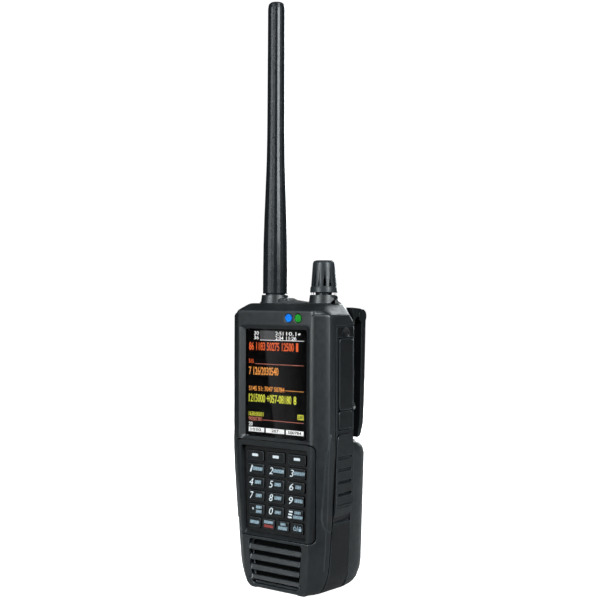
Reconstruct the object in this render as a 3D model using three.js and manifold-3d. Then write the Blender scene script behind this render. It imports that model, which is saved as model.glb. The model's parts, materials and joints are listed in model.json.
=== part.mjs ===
// Handheld aviation radio with a screen, a keypad, a helical whip antenna, a battery door and a belt clip.
// Millimetres, +Z up, -Y is the front. The origin is the centre of the bounding box's base.
import * as THREE from "three";
import { mergeVertices } from "three/addons/utils/BufferGeometryUtils.js";
import Module from "manifold-3d";

const wasm = await Module();
wasm.setup();

// ---------------------------------------------------------------- driving dimensions
const GAP = 0.3; // clearance between pieces that touch
const DEPTH = 46; // front ridge to the back of the battery door
const FRAME_Y = DEPTH / 2; // moves the front ridge from y = 0 to the row frame

const CASE_TOP = 146.9;
const PARTING_Y = 10; // plane between the front and rear cases
const CAP_Z = 135.8; // the front case's cap covers the rear case above this height
const BACK_Y = 29.5; // rear face behind the screen
const CAVITY_Y = 5; // inner face of the front wall
const DOOR_Y = 26; // plane between the rear case and the battery door
const DOOR_TOP = 77.3;
const SEAM = { width: 0.65, depth: 0.029 }; // shadow groove beside a parting plane; depth is a share of the half width
const FACET_Y = 5.35; // depth of the long facet down each front corner

const SCREEN = { half: 19.6, low: 78.5, high: 133.8, y: 1.3 }; // window in the front wall
const KEY_FACE_Y = 2.0;
const WELL_Y = 2.9; // floor of the keypad's well
const KEY_H = 5.2;
const ROW_TOP_Z = 68.4;
const ROW_PITCH = 6.86;
const BEZEL = { top: 76.3, low: 27.6, halfTop: 25.3, halfLow: 23.8, back: 4.2 };
const WELL = { top: 73.2, low: 29.4, halfTop: 21, halfLow: 19.3, sill: 2.2 };

const BAR = { count: 4, top: 21.2, pitch: 5.17, height: 2.9, front: 1.7, back: 4.5 }; // speaker grille bars
const GRILLE = { low: 2.6, high: 25.8, halfLow: 14.8, halfHigh: 17.1 };

const AXIS_X = 15.75; // antenna and knob, either side of the centre
const AXIS_Y = 21.5;
const COLLAR_TOP = 151.3;
const ANTENNA_TOP = 306.3;
const KNOB_LOW = 152.5;
const KNOB_TOP = 169;

const PORT = { y0: 13.2, y1: 25.3, low: 83.8, high: 129.4, hinge: 93.2, floor: 29.7 };
const GRIP_X = 31.6; // widest point of the case
const HINGE = { y: 39.2, z: 140.4, r: 3.5 }; // belt clip's pivot
const CLIP_HALF = 28.2;

// Outline of the case at each height: half width of the front face (ridge), of the side's front and rear edges,
// y of the front face (y), of the side's front edge (sideY) and rear edge (rearY), and the back's corner.
const CASE_LEVELS = [
  { z: 0.4, ridge: 15.4, side: 19.8, rearSide: 21.4, y: 3.4 },
  { z: 1.2, ridge: 17.4, side: 21.8, rearSide: 23, y: 2.4 },
  { z: 2.6, ridge: 18.4, side: 23.2, rearSide: 24.6, y: 2 },
  { z: 5, ridge: 19.1, side: 24.5, rearSide: 26.3, y: 1.8 },
  { z: 8, ridge: 19.6, side: 25.6, rearSide: 27.8, y: 1.65 },
  { z: 10.5, ridge: 19.9, side: 26.4, rearSide: 28.6, y: 1.55 },
  { z: 14, ridge: 20.2, side: 27.1, rearSide: 28.8, y: 1.5 },
  { z: 24, ridge: 20.8, side: 28.1, rearSide: 29.2, y: 1.3 },
  { z: 45, ridge: 22.3, side: 29.3, rearSide: 29.8, y: 0.8 },
  { z: 60, ridge: 23.3, side: 30.1, rearSide: 30.2, y: 0.15 },
  { z: 77, ridge: 24.1, side: 30.9, rearSide: 30.9, y: 0 },
  { z: 84, ridge: 24.2, side: 31.2, rearSide: 31.2, y: 0 },
  { z: 137, ridge: 24.2, side: 31.2, rearSide: 31.2, y: 0 },
  { z: 140.2, ridge: 24.2, side: 31.2, rearSide: 31.2, y: 0, rearY: 22.9, backX: 27.4 },
  { z: 141.2, ridge: 24.2, side: 30.7, rearSide: 30.9, y: 0, sideY: 5.5, rearY: 22.5, backX: 26.8 },
  { z: 142.3, ridge: 24.2, side: 29.4, rearSide: 29.8, y: 0, sideY: 6, rearY: 22.8, backX: 26.2 },
  { z: 143.1, ridge: 24.1, side: 28.3, rearSide: 28.9, y: 0.2, sideY: 6.4, rearY: 23.2, backX: 25.7 },
  { z: 143.8, ridge: 23.8, side: 27.3, rearSide: 28, y: 1.3, sideY: 6.8, rearY: 23.6, backX: 25.2 },
  { z: 146.2, ridge: 22.7, side: 24, rearSide: 25.4, y: 6.9, sideY: 8.5, rearY: 25, backX: 23, backY: 29.1 },
  { z: 146.7, ridge: 22.2, side: 23.1, rearSide: 24.5, y: 8.4, sideY: 9.2, rearY: 25.3, backX: 22.2, backY: 28.7 },
  { z: 146.9, ridge: 21.4, side: 22.2, rearSide: 23.6, y: 9.8, sideY: 10.4, rearY: 25, backX: 21.6, backY: 27.9 },
];
const CORNER_CUTS = [1.3, 2.6, 0.8, 1.2]; // how far each rounded corner of an outline starts before it
// The battery bulge at each height: half width where the round corner starts, and the back's y.
const BULGE_LEVELS = [
  { z: 0.4, half: 21.5, back: 39.6 },
  { z: 1.2, half: 23.3, back: 42 },
  { z: 2.6, half: 25.2, back: 43.6 },
  { z: 5, half: 26.6, back: 44.7 },
  { z: 9, half: 27.8, back: 45.5 },
  { z: 14, half: 28.2, back: 46 },
  { z: 34, half: 28.7, back: 46 },
  { z: 60, half: 29.7, back: 46 },
  { z: 69, half: 29.9, back: 46 },
  { z: 72.5, half: 29.9, back: 44.6 },
  { z: 74.6, half: 29.9, back: 42.6 },
  { z: 75.8, half: 29.9, back: 40 },
  { z: 76.6, half: 30, back: 36.4 },
  { z: 77.2, half: 30.1, back: 32.6 },
  { z: 78.6, half: 30.3, back: 29.8 },
];

// ---------------------------------------------------------------- solids
function toSolid(geometry) {
  const bare = geometry.index ? geometry.toNonIndexed() : geometry.clone();
  bare.deleteAttribute("normal");
  bare.deleteAttribute("uv");
  const merged = mergeVertices(bare, 1e-4);
  return new wasm.Manifold(
    new wasm.Mesh({
      numProp: 3,
      vertProperties: merged.attributes.position.array,
      triVerts: new Uint32Array(merged.index.array),
    }),
  );
}

function toGeometry(solid) {
  const mesh = solid.getMesh();
  const points = new Float32Array(mesh.numVert * 3);
  for (let i = 0; i < mesh.numVert; i++)
    points.set(mesh.vertProperties.subarray(i * mesh.numProp, i * mesh.numProp + 3), i * 3);
  const geometry = new THREE.BufferGeometry();
  geometry.setAttribute("position", new THREE.BufferAttribute(points, 3));
  geometry.setIndex(new THREE.BufferAttribute(mesh.triVerts, 1));
  geometry.computeVertexNormals();
  return geometry;
}

const shapeOf = (points) => new THREE.Shape(points.map(([u, v]) => new THREE.Vector2(u, v)));
const extrude = (points, depth) =>
  new THREE.ExtrudeGeometry(shapeOf(points), { depth, bevelEnabled: false, steps: 1, curveSegments: 6 });

// A front-view outline of (x, z) points, from y0 back to y1.
const alongY = (points, y0, y1) => toSolid(extrude(points, y1 - y0).rotateX(Math.PI / 2).translate(0, y1, 0));
// A side-view outline of (y, z) points, from x0 to x1.
const alongX = (points, x0, x1) =>
  toSolid(extrude(points, x1 - x0).rotateX(Math.PI / 2).rotateZ(Math.PI / 2).translate(x0, 0, 0));
// A plan outline of (x, y) points, from z0 up to z1.
const alongZ = (points, z0, z1) => toSolid(extrude(points, z1 - z0).translate(0, 0, z0));

const box = (x0, x1, y0, y1, z0, z1) =>
  toSolid(
    new THREE.BoxGeometry(x1 - x0, y1 - y0, z1 - z0).translate((x0 + x1) / 2, (y0 + y1) / 2, (z0 + z1) / 2),
  );

// A solid of revolution about a vertical axis through (x, y), from (radius, z) points that start and end on it.
const lathe = (profile, x, y, sides = 24) =>
  toSolid(
    new THREE.LatheGeometry(profile.map(([r, z]) => new THREE.Vector2(r, z)), sides)
      .rotateX(Math.PI / 2)
      .translate(x, y, 0),
  );
const rod = (radius, x, y, z0, z1, sides = 20) =>
  lathe([[0, z0], [radius, z0], [radius, z1], [0, z1]], x, y, sides);
// The same along +Y or +X through a point.
const rodY = (radius, x, z, y0, y1, sides = 20) =>
  toSolid(new THREE.CylinderGeometry(radius, radius, y1 - y0, sides).translate(x, (y0 + y1) / 2, z));
const rodX = (radius, y, z, x0, x1, sides = 20) =>
  toSolid(
    new THREE.CylinderGeometry(radius, radius, x1 - x0, sides).rotateZ(Math.PI / 2).translate((x0 + x1) / 2, y, z),
  );

const union = (...solids) => solids.reduce((a, b) => a.add(b));
const cut = (solid, ...tools) => tools.reduce((a, b) => a.subtract(b), solid);
const mirrored = (half) => [...half, ...half.map(([x, y]) => [-x, y]).reverse()];

// A rectangle with round corners, centred on (u, v).
function roundedRect(u, v, width, height, radius, steps = 3) {
  const points = [];
  for (const [su, sv, start] of [[1, 1, 0], [-1, 1, 90], [-1, -1, 180], [1, -1, 270]])
    for (let i = 0; i <= steps; i++) {
      const angle = THREE.MathUtils.degToRad(start + (90 * i) / steps);
      points.push([
        u + su * (width / 2 - radius) + radius * Math.cos(angle),
        v + sv * (height / 2 - radius) + radius * Math.sin(angle),
      ]);
    }
  return points;
}

// A closed outline with each corner replaced by a curve that starts cuts[i] before it.
function filleted(points, cuts, steps = 2) {
  const result = [];
  points.forEach((corner, i) => {
    const ends = [points[(i + points.length - 1) % points.length], points[(i + 1) % points.length]].map((next) => {
      const length = Math.hypot(next[0] - corner[0], next[1] - corner[1]);
      const share = Math.min(cuts[i % cuts.length] / length, 0.45);
      return [corner[0] + (next[0] - corner[0]) * share, corner[1] + (next[1] - corner[1]) * share];
    });
    for (let k = 0; k <= steps; k++) {
      const t = k / steps;
      const weights = [(1 - t) * (1 - t), 2 * t * (1 - t), t * t];
      result.push([0, 1].map((axis) => weights[0] * ends[0][axis] + weights[1] * corner[axis] + weights[2] * ends[1][axis]));
    }
  });
  return result;
}

// A closed solid through anticlockwise rings of equal length. place(point, level) gives each vertex.
// The two halves of a ring are split into triangles as mirror images.
function loft(rings, place) {
  const count = rings[0].points.length;
  const positions = rings.flatMap((ring) => ring.points.flatMap((point) => place(point, ring.level)));
  const index = [];
  for (let r = 0; r + 1 < rings.length; r++)
    for (let i = 0; i < count; i++) {
      const a = r * count + i;
      const b = r * count + ((i + 1) % count);
      if (i < count / 2) index.push(a, b, b + count, a, b + count, a + count);
      else index.push(a, b, a + count, b, b + count, a + count);
    }
  const cap = (ring) =>
    THREE.ShapeUtils.triangulateShape(ring.points.map(([u, v]) => new THREE.Vector2(u, v)), []);
  for (const [a, b, c] of cap(rings[0])) index.push(a, c, b);
  const last = (rings.length - 1) * count;
  for (const [a, b, c] of cap(rings[rings.length - 1])) index.push(last + a, last + b, last + c);
  const geometry = new THREE.BufferGeometry();
  geometry.setAttribute("position", new THREE.Float32BufferAttribute(positions, 3));
  geometry.setIndex(index);
  return toSolid(geometry);
}
const loftZ = (rings) => loft(rings, ([x, y], z) => [x, y, z]);
// The same through rings of (x, z) points at rising y.
const loftY = (rings) =>
  loft(
    rings.map((ring) => ({ ...ring, points: ring.points.map(([x, z]) => [x, -z]).reverse() })),
    ([x, v], y) => [x, y, -v],
  );

// ---------------------------------------------------------------- outer forms
const caseForm = loftZ(
  CASE_LEVELS.map((s) => {
    const half = [
      [s.ridge, s.y],
      [s.side, s.sideY ?? s.y + FACET_Y],
      [s.rearSide, s.rearY ?? 26.5],
      [s.backX ?? s.rearSide - 2.6, s.backY ?? BACK_Y],
    ];
    return { level: s.z, points: filleted(mirrored(half), [...CORNER_CUTS, ...[...CORNER_CUTS].reverse()]) };
  }),
);

const CORNER = { x: 8, y: 15, steps: 5 }; // elliptical corner of the battery bulge
const bulgeForm = loftZ(
  BULGE_LEVELS.map((s) => {
    const half = [[s.half, 24]];
    for (let i = 0; i <= CORNER.steps; i++) {
      const angle = (Math.PI / 2) * (i / CORNER.steps);
      half.push([
        s.half - CORNER.x + CORNER.x * Math.cos(angle),
        Math.max(24.5, s.back - CORNER.y) + Math.min(CORNER.y, s.back - 24.5) * Math.sin(angle),
      ]);
    }
    return { level: s.z, points: mirrored(half) };
  }),
);

// Trapezium in front view, wide at the top.
const trapezium = (halfLow, low, halfTop, top) => [
  [-halfLow, low],
  [halfLow, low],
  [halfTop, top],
  [-halfTop, top],
];
const bezelOutline = (grow) =>
  filleted(trapezium(BEZEL.halfLow + grow, BEZEL.low - grow, BEZEL.halfTop + grow, BEZEL.top + grow), [3.2], 3);
// The electronics bay, inside the case's walls.
const bayForm = loftZ(
  CASE_LEVELS.filter((s) => s.z > 2.6 && s.z <= 137)
    .map((s) => ({
      level: s.z === 137 ? 137.4 : s.z,
      points: mirrored([[s.ridge - 0.4, CAVITY_Y], [s.side - 2.8, s.y + 7.6], [s.side - 2.8, 60]]),
    })),
);

// ---------------------------------------------------------------- keys
const keys = [];
const DIGIT_ROWS = [
  ["key_soft_left", "key_soft_middle", "key_soft_right"],
  ["key_1", "key_2", "key_3"],
  ["key_4", "key_5", "key_6"],
  ["key_7", "key_8", "key_9"],
  ["key_point", "key_0", "key_enter"],
];
DIGIT_ROWS.forEach((names, row) => {
  const pitch = 13.4 - 0.25 * row;
  names.forEach((name, column) =>
    keys.push({ name, x: (column - 1) * pitch, z: ROW_TOP_Z - row * ROW_PITCH, width: pitch - 2.4 }),
  );
});
["key_skip", "key_replay", "key_range", "key_power"].forEach((name, column) =>
  keys.push({ name, x: (column - 1.5) * 9.1, z: ROW_TOP_Z - 5 * ROW_PITCH, width: 7.4 }),
);
const keyOutline = (key, grow) => roundedRect(key.x, key.z, key.width + 2 * grow, KEY_H + 2 * grow, 0.8, 2);

// ---------------------------------------------------------------- cases
function frontCase() {
  const upperBay = bayForm.intersect(box(-40, 40, 0, 27, 77, 160));
  let solid = union(
    caseForm.intersect(box(-40, 40, -5, PARTING_Y, 0, 160)),
    caseForm.intersect(box(-40, 40, PARTING_Y - 1, 60, CAP_Z, 160)),
    fairing(),
    fairing().mirror([1, 0, 0]),
  );
  for (const x of [-AXIS_X, AXIS_X])
    solid = solid.add(lathe([[0, 144], [7.9, 144], [7.8, CASE_TOP], [7.25, COLLAR_TOP], [0, COLLAR_TOP]], x, AXIS_Y));
  const saddle = alongY([[-10, 146], [-8.6, 149.8], [-5.4, 148.6], [2, 147.7], [9, 147], [9, 146]], 16, 28);
  solid = solid.add(saddle);
  solid = cut(
    solid,
    bayForm.intersect(box(-40, 40, 0, PARTING_Y + 1, 0, 78)),
    upperBay,
    screenRecess(),
    alongY(bezelOutline(0.45), -5, BEZEL.back + GAP),
    alongY(trapezium(18.6, 31, 20.4, 71.6), 0, 8),
    alongY(grilleOutline(0), -5, BAR.back - 0.4),
    alongY(grilleOutline(-1), -5, 8),
    rod(3.5, -AXIS_X, AXIS_Y, 130, 160),
    rod(5.6, -AXIS_X, AXIS_Y, 150.5, 160),
    rod(3.7, AXIS_X, AXIS_Y, 130, 160),
    rod(4.7, AXIS_X, AXIS_Y, 149.5, 160),
    ...ledPlaces.map(([, x]) => rodY(2.3, x, LED_Z, -5, 8)),
  );
  for (let i = 0; i < BAR.count; i++) solid = solid.add(grilleBar(i));
  return union(solid, foot(-15.2, 5.6), foot(15.2, 5.6));
}

// The swelling down each side, in front of the grip pad.
const fairing = () =>
  alongX(
    [
      [6.4, 82], [5.2, 74], [4.5, 64], [4.4, 44], [4.6, 39.8], [5.1, 37], [6, 34.9], [7.2, 33.8], [PARTING_Y, 33.2],
      [PARTING_Y, 82],
    ],
    20,
    31.2,
  ).intersect(caseForm.translate([0.5, 0, 0]));

const grilleOutline = (grow) =>
  filleted(
    trapezium(GRILLE.halfLow + grow, GRILLE.low - grow, GRILLE.halfHigh + grow, GRILLE.high + grow), [2.2], 3);

// One bar with a round front, reaching into the well's walls.
function grilleBar(i) {
  const z = BAR.top - i * BAR.pitch;
  const half = BAR.height / 2;
  const profile = [
    [BAR.back, z - half + 0.3], [BAR.front + 0.7, z - half], [BAR.front + 0.15, z - half + 0.15],
    [BAR.front, z - half + 0.6], [BAR.front + 0.85, z + half - 0.25], [BAR.front + 1.2, z + half],
    [BAR.back, z + half - 0.2],
  ];
  const reach = GRILLE.halfHigh - 0.45 * (i + 1) + 0.8;
  return alongX(profile, -reach, reach);
}

// The window's sloped rim, from the front ridge down to the lens, and the opening behind it.
function screenRecess() {
  const { half, low, high, y } = SCREEN;
  return loftY([
    { level: -0.5, points: filleted(trapezium(23.6, low - 2.4, 23.6, high + 3), [2.4], 3) },
    { level: y, points: filleted(trapezium(half, low, half, high), [1.2], 3) },
    { level: 8, points: filleted(trapezium(half, low, half, high), [1.2], 3) },
  ]);
}

const foot = (x, y) => lathe([[0, 0], [2, 0], [2.5, 0.5], [2.5, 2.6], [0, 2.6]], x, y, 14);

const GRIP_GROOVES = { count: 5, top: 69.9, pitch: 6.1, root: 30 };
// One finger groove, through the pad and into the case: undercut at its top, sloping out below.
function gripGroove(i) {
  const z = GRIP_GROOVES.top - i * GRIP_GROOVES.pitch;
  const root = GRIP_GROOVES.root - 0.09 * i;
  return alongY([[root, z - 0.1], [root + 1.5, z - 1.1], [40, z - 3], [40, z + 0.7], [root, z + 0.5]], 12, 24.2);
}
const gripGrooves = Array.from({ length: GRIP_GROOVES.count }, (_, i) => gripGroove(i));
// The scoop at the pad's lower end. It runs on into the case and stops at a sharp ledge.
const gripScoop = (y0, y1) =>
  alongY([[40, 47], [31.8, 47], [31.3, 44.6], [30.5, 42.1], [29.6, 40], [28.7, 38.1], [28.1, 36.6], [40, 36.2]], y0, y1);

// A shallow groove round a form, just behind y. It leaves a dark line where two shells meet.
const seamGroove = (form, y) =>
  box(-40, 40, y, y + SEAM.width, -1, CAP_Z).subtract(form.scale([1 - SEAM.depth, 1, 1]).translate([0, 0, 0.8]));

function rearCase() {
  const solid = union(
    caseForm.intersect(box(-40, 40, PARTING_Y + GAP, 60, DOOR_TOP + GAP, CAP_Z - GAP)),
    caseForm.intersect(box(-40, 40, PARTING_Y + GAP, DOOR_Y, 0, DOOR_TOP + 5)),
  );
  const scoop = new THREE.SphereGeometry(5, 20, 14).translate(35.1, (PORT.y0 + PORT.y1) / 2, 131.6);
  return cut(
    solid,
    bayForm.intersect(box(-40, 40, 0, 18, 0, 84)),
    box(-27.2, 27.2, 0, 27, 84 - 0.5, 137.4),
    box(-25, 25, 20, 60, 7, 68.5),
    seamGroove(caseForm, PARTING_Y + GAP),
    ...[...gripGrooves, gripScoop(11, 25.8)].flatMap((hollow) => [hollow, hollow.mirror([1, 0, 0])]),
    toSolid(scoop),
    rod(3.5, -AXIS_X, AXIS_Y, 130, 160),
    rod(3.7, AXIS_X, AXIS_Y, 130, 160),
    box(PORT.floor, 40, PORT.y0 - 0.5, PORT.y1 + 0.5, PORT.low - 0.5, PORT.high + 0.5),
    rodX(3.4, 19.2, 118, 20, 31),
    box(20, 31, 17.2, 21.2, 98.6, 107.4),
    ...sideKeys.map((key) => box(-40, -20, 14.7, 23.3, key.low - GAP, key.high + GAP)),
    ...[-1, 1].flatMap((s) => [
      rodY(1.5, s * CLIP_SCREW.x, CLIP_SCREW.z, 20, 40, 12),
      rodY(1.5, s * CASE_SCREW.x, CASE_SCREW.z, 12, 40, 12),
      rodY(2.9, s * CASE_SCREW.x, CASE_SCREW.z, 18.9, 40, 14),
    ]),
  );
}

function batteryDoor() {
  const outer = bulgeForm.intersect(box(-40, 40, DOOR_Y + GAP, 60, 0, DOOR_TOP));
  const hollow = loftZ([
    { level: 3, points: mirrored([[22, 20], [21.8, 34], [17, 40]]) },
    { level: 10, points: mirrored([[25.4, 20], [25, 35], [20, 43.2]]) },
    { level: 68, points: mirrored([[27, 20], [26.6, 35], [21.2, 43.6]]) },
    { level: 73, points: mirrored([[26.6, 20], [26.2, 33], [20.8, 39.4]]) },
  ]);
  const latchWell = box(-9.3, 9.3, 44.2, 60, 11.7, 24.3);
  const solid = cut(outer, hollow, latchWell, seamGroove(bulgeForm, DOOR_Y + GAP));
  return union(solid, foot(-15.2, 31), foot(15.2, 31));
}

// ---------------------------------------------------------------- front pieces
const LED_Z = 139.5;
const ledPlaces = [
  ["led_lens_blue", 9.1],
  ["led_lens_green", 15.1],
];
const ledLens = (x) => union(rodY(2, x, LED_Z, 0.1, 1.6), rodY(1.8, x, LED_Z, 1.5, 4.6));

function keypadBezel() {
  const plate = caseForm.intersect(alongY(bezelOutline(0), -5, BEZEL.back));
  const well = loftY([
    {
      level: -1,
      points: filleted(
        trapezium(WELL.halfLow + 0.6, WELL.low - WELL.sill - 1.2, WELL.halfTop + 0.6, WELL.top + 0.9), [1.6], 2),
    },
    { level: WELL_Y, points: filleted(trapezium(WELL.halfLow, WELL.low, WELL.halfTop, WELL.top), [1.6], 2) },
  ]);
  return cut(plate, well, ...keys.map((key) => alongY(keyOutline(key, GAP), 0, 8)));
}

const keyCap = (key) => union(alongY(keyOutline(key, 0), KEY_FACE_Y, 4.4));

const keypadMat = () =>
  keys.reduce(
    (mat, key) => mat.add(box(key.x - 2, key.x + 2, 5.3, 6, key.z - 1.4, key.z + 1.4)),
    box(-19.6, 19.6, 5.9, 7, 30.2, 72.2),
  );

const displayLens = () =>
  alongY(
    roundedRect(0, (SCREEN.low + SCREEN.high) / 2, 2 * (SCREEN.half - GAP), SCREEN.high - SCREEN.low - 2 * GAP, 0.8),
    SCREEN.y + 0.1,
    SCREEN.y + 1,
  );

const displayModule = () =>
  union(box(-19.2, 19.2, 2.6, 6, SCREEN.low + 0.5, SCREEN.high - 0.5), box(-19.4, 19.4, 5.4, 9, 77.4, 136.2));

const speakerMesh = () => box(-17.6, 17.6, 5.3, 5.8, 5.6, 27);

function speaker() {
  const frame = alongY(roundedRect(0, 16.3, 34, 20, 5), 6.1, 8.4);
  return union(frame, rodY(8.4, 0, 16.3, 8.3, 12.6, 24));
}

// ---------------------------------------------------------------- inside
const mainBoard = () =>
  cut(
    alongY(trapezium(21.5, 28.6, 25.4, 126.4), 10.8, 12.4),
    rodY(1.6, -CASE_SCREW.x, CASE_SCREW.z, 8, 14, 12),
    rodY(1.6, CASE_SCREW.x, CASE_SCREW.z, 8, 14, 12),
  );
const shieldCan = () => alongY(roundedRect(-4, 106, 34, 32, 1.5), 12.7, 16);
const encoderBody = () =>
  cut(
    union(box(AXIS_X - 6, AXIS_X + 6, AXIS_Y - 5, AXIS_Y + 5, 129, 137.1), rod(3.4, AXIS_X, AXIS_Y, 137, 149.2)),
    rod(3.1, AXIS_X, AXIS_Y, 133, 160),
  );
const encoderPlunger = () => rod(2.7, AXIS_X, AXIS_Y, 134, 137.6);
const encoderShaft = () => rod(2.75, AXIS_X, AXIS_Y, 137.9, 165.6);

const KNOB_FLUTES = 14;
function controlKnob() {
  const profile = [
    [0, 150.1], [4.35, 150.1], [4.35, KNOB_LOW], [7.15, KNOB_LOW], [6.95, 155.2], [6.6, 155.5], [5.75, 167.6],
    [5.2, 168.6], [4.2, KNOB_TOP], [0, KNOB_TOP],
  ];
  let solid = lathe(profile, AXIS_X, AXIS_Y, 28);
  for (let i = 0; i < KNOB_FLUTES; i++) {
    const angle = (2 * Math.PI * i) / KNOB_FLUTES;
    const reach = 6.75;
    solid = solid.subtract(
      rod(0.55, AXIS_X + reach * Math.cos(angle), AXIS_Y + reach * Math.sin(angle), 156, 170, 8),
    );
  }
  return solid.subtract(rod(3.05, AXIS_X, AXIS_Y, 149, 165.9));
}

const antennaSocket = () =>
  cut(
    union(rod(3.2, -AXIS_X, AXIS_Y, 136, 158), rod(5, -AXIS_X, AXIS_Y, 133.4, 137.1, 6)),
    rod(1.6, -AXIS_X, AXIS_Y, 150, 160, 12),
  );
const antennaFerrule = () =>
  cut(rod(5.25, -AXIS_X, AXIS_Y, 150.8, 164), rod(3.5, -AXIS_X, AXIS_Y, 150, 158.4));

function antennaWhip() {
  const profile = [
    [0, 151.9], [6.5, 151.9], [6.7, 152.3], [6.66, 165], [6.5, 178], [6.1, 192], [5.5, 208], [5, 222], [4.78, 236],
    [4.7, 252], [4.6, 303], [4.2, 305.4], [3.2, ANTENNA_TOP], [0, ANTENNA_TOP],
  ];
  return cut(lathe(profile, -AXIS_X, AXIS_Y, 24), rod(5.55, -AXIS_X, AXIS_Y, 150, 164.3));
}

// ---------------------------------------------------------------- sides
const sideKeys = [
  { name: "side_key_upper", low: 106, high: 124 },
  { name: "side_key_lower", low: 90, high: 101 },
];
const sideKeyCap = (key) =>
  alongX(roundedRect(19, (key.low + key.high) / 2, 8, key.high - key.low, 2), -31.5, -27.5);

const portCover = () =>
  alongX(roundedRect((PORT.y0 + PORT.y1) / 2, (PORT.hinge + GAP / 2 + PORT.high) / 2, PORT.y1 - PORT.y0,
    PORT.high - PORT.hinge - GAP / 2, 1.6), PORT.floor + GAP, 31.5);
const portCoverAnchor = () =>
  alongX(roundedRect((PORT.y0 + PORT.y1) / 2, (PORT.hinge - GAP + PORT.low) / 2, PORT.y1 - PORT.y0,
    PORT.hinge - GAP - PORT.low, 1.6), PORT.floor + GAP, 31.4);
const headphoneJack = () => cut(rodX(3.1, 19.2, 118, 21, 29.4), rodX(1.8, 19.2, 118, 23, 31, 14));
const usbSocket = () => cut(box(22, 29.4, 17.5, 20.9, 98.9, 107.1), box(24, 31, 18, 20.4, 99.5, 106.5));

// A ribbed grip pad on the rear case's side. It follows the side's taper on its inner face.
function grip(side) {
  const outer = alongX(
    [
      [PARTING_Y + 0.8, 40], [PARTING_Y + 1.3, 37.6], [12.8, 36.2], [24, 35.4], [25.4, 36.8], [25.8, 40],
      [25.8, 77], [25.2, 79.8], [23.4, 81.4], [14.4, 81.4], [12.2, 80.2], [11.2, 77], [PARTING_Y + 0.8, 66],
    ],
    20,
    GRIP_X,
  );
  const relief = loftZ([
    { level: 38, points: [[27, 0], [32, 0], [32, 30], [27, 30]] },
    { level: 77, points: [[27, 0], [32, 0], [32, 30], [27, 30]] },
    { level: 82, points: [[27, 0], [31.5, 0], [31.5, 30], [27, 30]] },
  ]);
  const pad = cut(outer.intersect(relief), caseForm.translate([GAP, 0, 0]), ...gripGrooves, gripScoop(0, 40));
  return side > 0 ? pad : pad.mirror([1, 0, 0]);
}

// ---------------------------------------------------------------- battery
const batteryPack = () => {
  const plan = mirrored([[24, 21.6], [24.6, 22.4], [24.6, 32.6], [23.4, 36.6], [19.4, 40.6]]);
  return alongZ(plan, 12.4, 65.6).subtract(box(-10.5, 10.5, 20, 26, 63.6, 70));
};
const batteryContacts = () =>
  [-8, -4, 4, 8].reduce(
    (block, x) => block.add(box(x - 0.8, x + 0.8, 22, 25.2, 64, 66.5)),
    box(-10, 10, 21, 25.6, 66.3, 68.2),
  );
const batteryLatch = () => union(box(-9, 9, 44.5, 45.3, 12, 21), box(-7.5, 7.5, 45.2, 46, 14, 19.5));

// ---------------------------------------------------------------- belt clip
const CLIP_SCREW = { x: 25.4, z: 94 };
const CASE_SCREW = { x: 22, z: 63 };

function clipBracket() {
  const plate = alongY(roundedRect(0, 114.2, 56, 58, 4), BACK_Y + GAP, 31.4);
  // The shoulder, with a round seat for the arm's barrel.
  const seat = [];
  for (let angle = 184; angle >= 109; angle -= 15)
    seat.push([
      HINGE.y + 3.85 * Math.cos(THREE.MathUtils.degToRad(angle)),
      HINGE.z + 3.85 * Math.sin(THREE.MathUtils.degToRad(angle)),
    ]);
  const web = alongX(
    [[BACK_Y + GAP, 136.6], [31.2, 137], [32.4, 139.2], [34, 140.1], ...seat, [36.8, 144.4], [BACK_Y + GAP, 144.9]],
    -28.2,
    28.2,
  );
  const ear = (x0, x1) =>
    union(rodX(2.9, HINGE.y, HINGE.z, x0, x1, 16), box(x0, x1, 34.4, HINGE.y, HINGE.z - 0.2, HINGE.z + 2.6));
  return cut(
    union(plate, web, ear(-14, -10), ear(10, 14)),
    rodX(1.5, HINGE.y, HINGE.z, -20, 20, 16),
    rodY(1.5, -CLIP_SCREW.x, CLIP_SCREW.z, 20, 40, 12),
    rodY(1.5, CLIP_SCREW.x, CLIP_SCREW.z, 20, 40, 12),
  );
}

// The arm's y at each height, inside and outside.
const ARM_LEVELS = [
  { z: 77.7, inner: 35.6, outer: 36.8, half: 27.2 },
  { z: 78.2, inner: 35.2, outer: 37.7, half: 27.9 },
  { z: 80.2, inner: 35.4, outer: 39, half: CLIP_HALF },
  { z: 85, inner: 36.4, outer: 41, half: CLIP_HALF },
  { z: 97, inner: 37, outer: 42, half: CLIP_HALF },
  { z: 126, inner: 37.7, outer: 43, half: CLIP_HALF },
  { z: 140, inner: 38.2, outer: 43.4, half: CLIP_HALF },
  { z: 141.8, inner: 38.4, outer: 43, half: CLIP_HALF },
  { z: 143.2, inner: 38.8, outer: 41.9, half: 28 },
  { z: 143.9, inner: 39.2, outer: 40.6, half: 27.8 },
];
function clipArm() {
  const strap = loftZ(
    ARM_LEVELS.map((s) => {
      const round = Math.min(2.3, (s.outer - s.inner) * 0.45);
      const edge = Math.min(0.7, (s.outer - s.inner) * 0.2);
      const half = [[s.half, s.inner], [s.half, s.outer]];
      return { level: s.z, points: filleted(mirrored(half), [edge, round, round, edge], 3) };
    }),
  );
  const barrel = rodX(HINGE.r, HINGE.y, HINGE.z, -CLIP_HALF, CLIP_HALF, 20);
  return cut(
    union(strap, barrel),
    ...[-1, 1].map((s) => box(s > 0 ? 9.7 : -14.3, s > 0 ? 14.3 : -9.7, 30, 44.4, 136.4, 148)),
    box(-4.2, 4.2, 30, 44.4, 127, 148),
    rodX(1.5, HINGE.y, HINGE.z, -24, 24, 16),
  );
}
const clipPin = () => rodX(1.2, HINGE.y, HINGE.z, -18, 18, 12);

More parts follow.
